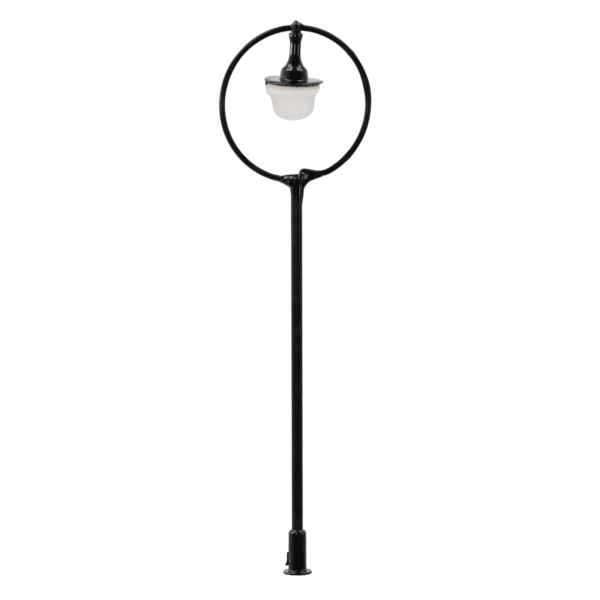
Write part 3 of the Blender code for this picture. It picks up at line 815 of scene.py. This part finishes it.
seat = {"top": -7.78, "bottom": -8.48, "outer": 2.81, "inner": 2.41, "chamfer": 0.06}


def makeSeat(size):
    top, bottom, outer, inner, chamfer = (size[key] for key in ("top", "bottom", "outer", "inner", "chamfer"))
    profile = [(inner, top), (outer, top), (outer, bottom + 2 * chamfer), (outer - chamfer, bottom)]
    profile += [(inner + chamfer, bottom), (inner, bottom + chamfer), (inner, top)]
    piece = spinProfile("globeSeat", profile, 96)
    seatPiece(piece, "post", ["globe_seat"], turnedBrass, lampPlace, 25)


socket = {"top": -7.78, "floor": -8.03, "end": -9.48, "outer": 1.39, "inner": 1.14, "hole": 0.77, "roll": 0.12}


def makeSocket(size):
    outer, inner, end = size["outer"], size["inner"], size["end"]
    middle = (outer + inner) / 2
    half = (outer - inner) / 2
    profile = [(size["hole"], size["top"]), (outer, size["top"]), (outer, size["floor"] - 0.15)]
    profile += [(outer - 0.05, size["floor"] - 0.2), (outer - 0.05, size["floor"] - 0.32), (outer, size["floor"] - 0.37)]
    profile += [(outer, end + size["roll"])] + roundOver((middle, end + half), (half, half), 0, -180, 10)[1:]
    profile += [(inner, size["floor"]), (size["hole"], size["floor"]), (size["hole"], size["top"])]
    piece = spinProfile("lampSocket", profile, 64)
    seatPiece(piece, "post", ["lamp_socket"], turnedBrass, lampPlace, 25)


bulb = {"top": -8.48, "tip": -11.48, "radius": 1.1, "wall": 0.18, "nib": 0.16}


def makeBulb(size):
    radius, wall = size["radius"], size["wall"]
    inner = radius - wall
    centre = size["tip"] + radius
    profile = roundOver((0, centre), (inner, inner), -90, 0, 12) + straight((inner, centre), (inner, size["top"]), 6)
    profile += [(inner + wall / 2, size["top"] + 0.01), (radius, size["top"] - 0.04)]
    profile += straight(profile[-1], (radius, centre), 6)
    profile += roundOver((0, centre), (radius, radius), 0, -78, 14)[1:]
    profile += bend(profile[-1], (0.16, size["tip"] + 0.01), (0.1, size["tip"] - 0.02), (0.08, size["tip"] - 0.05), 4)
    profile += [(0.05, size["tip"] - 0.09), (0, size["tip"] - 0.1)]
    piece = spinProfile("bulbEnvelope", profile, 64)
    seatPiece(piece, "post", ["bulb_glass"], bulbGlass, lampPlace)


filament = {"spread": 0.7, "top": -9.9, "arch": 0.35, "wire": 0.024, "coil": 0.04, "turns": 26}


def makeFilament(size):
    half = size["spread"] / 2
    sag = size["top"] - size["arch"] * 4 / 3
    steps = size["turns"] * 12
    line = bend((-half, size["top"]), (-half, sag), (half, sag), (half, size["top"]), steps)
    path = []
    for i, (x, z) in enumerate(line):
        turn = 2 * math.pi * i / 12
        path.append((x + size["coil"] * math.cos(turn), size["coil"] * math.sin(turn), z))
    piece = sweepPath("filamentCoil", path, size["wire"], 6)
    seatPiece(piece, "post", ["bulb_filament"], tungstenWire, lampPlace)


makeFootPlate(footPlate)
makeFootTube(footTube)
makeWireStub(wireStub)
makeMast(mast)
makeHoop(hoop)
makeRootSolder(rootSolder)
makeTopSolder(topSolder)
makeStem(stem)
makeShade(shade)
makeGlobe(globe)
makeSeat(seat)
makeSocket(socket)
makeBulb(bulb)
makeFilament(filament)

# CAD pieces that are right as they are
keptNodes = {
    "bulb_bead": bulbGlass,
    "bulb_lead_live": nickelWire,
    "bulb_lead_return": nickelWire,
    "live_wire": enamelledCopper,
    "splice_sleeve": insulation,
    "lead_bush": insulation,
    "wire_bush": insulation,
}
for nodeName, finish in keptNodes.items():
    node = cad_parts[nodeName]
    node.data.materials.clear()
    node.data.materials.append(finish)
print("kept CAD pieces dressed")


# stage

studio = {
    "floorRadius": 36,
    "floorSolid": 4,  # white as far as this, then it thins away into the white round it
    "floorColour": "#FCFCFC",
    "floorLift": 0.2,  # brings the card up to white for the camera; the shadow stays
    "roomFill": 0.76,  # even light from all round
    # what the gloss shows: a white screen behind and to the left, dark room in front and above the screen, a grey
    # band under the horizon and the white table below that
    "worldBright": 1.25,
    "worldDark": 0.04,
    "brightWay": (-0.08, 0.99, 0.1),
    "skyShare": 0.3,
    "bandShare": 0.55,
    "tableShare": 1.8,
    # lamps: place, size, strength as seen, height they point at, and whether they light the matt and the gloss
    "lamps": (
        ("leftBox", (-158, 14, 314), (170, 220), 6.5, 70, False, True),
        ("rightBox", (172, -12, 306), (160, 200), 3.6, 70, False, True),
        ("topBox", (10, 20, 330), (220, 220), 1.6, 55, True, False),
        ("frontBox", (-90, -420, 150), (200, 160), 3.1, 62, True, False),
        ("leftCard", (-108, 18, 63), (80, 26), 8.0, 63, False, True),
        ("frontStrip", (-75, -185, 46), (50, 36), 4.5, 46, False, True),
        ("rightStrip", (168, -109, 42), (60, 46), 2.8, 42, False, True),
    ),
}


def makeStage(size):
    clearSelection()
    bpy.ops.mesh.primitive_circle_add(vertices=128, radius=size["floorRadius"] * mm, fill_type="NGON")
    floor = bpy.context.object
    floor.name = "floor"
    material, tree, shader, place = startFinish("white_card", Roughness=0.9, Base_Color=linear(size["floorColour"]))
    away = addNode(tree, "ShaderNodeVectorMath", {0: place}, operation="LENGTH")
    fade = addNode(
        tree,
        "ShaderNodeMapRange",
        {
            "Value": away.outputs["Value"],
            "From Min": size["floorSolid"] * mm,
            "From Max": size["floorRadius"] * mm,
            "To Min": 1.0,
            "To Max": 0.0,
        },
        interpolation_type="SMOOTHSTEP",
    )
    tree.links.new(fade.outputs["Result"], shader.inputs["Alpha"])
    eye = addNode(tree, "ShaderNodeLightPath")
    lift = addNode(
        tree, "ShaderNodeMath", {0: eye.outputs["Is Camera Ray"], 1: size["floorLift"]}, operation="MULTIPLY"
    )
    shader.inputs["Emission Color"].default_value = (1, 1, 1, 1)
    tree.links.new(lift.outputs["Value"], shader.inputs["Emission Strength"])
    floor.data.materials.append(material)
    floor.visible_glossy = False  # the paint shows the dark room in front, as in the photo

    world = bpy.data.worlds.new("studio")
    bpy.context.scene.world = world
    world.use_nodes = True
    tree = world.node_tree
    back = tree.nodes["Background"]
    way = addNode(tree, "ShaderNodeTexCoord").outputs["Generated"]
    facing = addNode(tree, "ShaderNodeVectorMath", {0: way, 1: size["brightWay"]}, operation="DOT_PRODUCT")
    fall = addNode(
        tree,
        "ShaderNodeMapRange",
        {
            "Value": facing.outputs["Value"],
            "From Min": -0.8,
            "From Max": 0.9,
            "To Min": size["worldDark"],
            "To Max": size["worldBright"],
        },
        interpolation_type="SMOOTHSTEP",
    )
    parts = addNode(tree, "ShaderNodeSeparateXYZ", {"Vector": way})
    level = addNode(
        tree,
        "ShaderNodeMapRange",
        {
            "Value": parts.outputs["Z"],
            "From Min": -0.1,
            "From Max": -0.02,
            "To Min": size["bandShare"],
            "To Max": 1.0,
        },
        interpolation_type="SMOOTHSTEP",
    )
    table = addNode(
        tree,
        "ShaderNodeMapRange",
        {
            "Value": parts.outputs["Z"],
            "From Min": -0.35,
            "From Max": -0.7,
            "To Min": 0.0,
            "To Max": size["tableShare"],
        },
        interpolation_type="SMOOTHSTEP",
    )
    sky = addNode(
        tree,
        "ShaderNodeMapRange",
        {"Value": parts.outputs["Z"], "From Min": 0.25, "From Max": 0.6, "To Min": 1.0, "To Max": size["skyShare"]},
        interpolation_type="SMOOTHSTEP",
    )
    screen = addNode(
        tree, "ShaderNodeMath", {0: level.outputs["Result"], 1: sky.outputs["Result"]}, operation="MINIMUM"
    )
    share = addNode(
        tree, "ShaderNodeMath", {0: screen.outputs["Value"], 1: table.outputs["Result"]}, operation="MAXIMUM"
    )
    glow = addNode(
        tree, "ShaderNodeMath", {0: fall.outputs["Result"], 1: share.outputs["Value"]}, operation="MULTIPLY"
    )
    path = addNode(tree, "ShaderNodeLightPath")
    shown = addNode(
        tree,
        "ShaderNodeMix",
        {"Factor": path.outputs["Is Glossy Ray"], 2: size["roomFill"], 3: glow.outputs["Value"]},
        data_type="FLOAT",
    )
    seen = addNode(
        tree,
        "ShaderNodeMath",
        {0: path.outputs["Is Camera Ray"], 1: path.outputs["Is Transmission Ray"]},
        operation="MAXIMUM",
    )
    strength = addNode(
        tree,
        "ShaderNodeMix",
        {"Factor": seen.outputs["Value"], 2: shown.outputs[0], 3: 1.0},
        data_type="FLOAT",
    )
    tree.links.new(strength.outputs[0], back.inputs["Strength"])
    back.inputs["Color"].default_value = (1, 1, 1, 1)

    for name, spot, spread, seenStrength, aimHeight, onMatt, onGloss in size["lamps"]:
        clearSelection()
        bpy.ops.object.light_add(type="AREA", location=Vector(spot) * mm)
        lamp = bpy.context.object
        lamp.name = name
        aim = Vector((0, 0, aimHeight)) * mm
        lamp.rotation_euler = (aim - lamp.location).to_track_quat("-Z", "Y").to_euler()
        lamp.data.shape = "RECTANGLE"
        lamp.data.size = spread[0] * mm
        lamp.data.size_y = spread[1] * mm
        lamp.data.energy = seenStrength * math.pi * lamp.data.size * lamp.data.size_y
        lamp.visible_camera = False
        lamp.visible_diffuse = onMatt
        lamp.visible_glossy = onGloss
        if not onMatt:
            lamp.data.cycles.max_bounces = 1  # no sparks thrown on by the brass


view = {"azimuth": -9.97, "away": 592.1, "height": 134.3, "down": 9.123, "roll": -0.139, "aside": 0.45, "lens": 255.83}


def makeCamera(size):
    around, down, roll = (math.radians(size[key]) for key in ("azimuth", "down", "roll"))
    ahead = Vector((-math.sin(around) * math.cos(down), math.cos(around) * math.cos(down), -math.sin(down)))
    right = Vector((math.cos(around), math.sin(around), 0))
    up = right.cross(ahead)
    spot = Vector((size["away"] * math.sin(around), -size["away"] * math.cos(around), size["height"]))
    spot = (spot + right * size["aside"]) * mm
    across = right * math.cos(roll) + up * math.sin(roll)
    upwards = up * math.cos(roll) - right * math.sin(roll)
    clearSelection()
    bpy.ops.object.camera_add()
    camera = bpy.context.object
    turn = Matrix((across, upwards, -ahead)).transposed()
    camera.matrix_world = Matrix.Translation(spot) @ turn.to_4x4()
    camera.data.sensor_width = 36
    camera.data.lens = size["lens"]
    camera.data.clip_start = 0.01
    camera.data.clip_end = 20
    bpy.context.scene.camera = camera


makeStage(studio)
makeCamera(view)
bpy.context.scene.view_settings.view_transform = "Standard"
print("stage set")
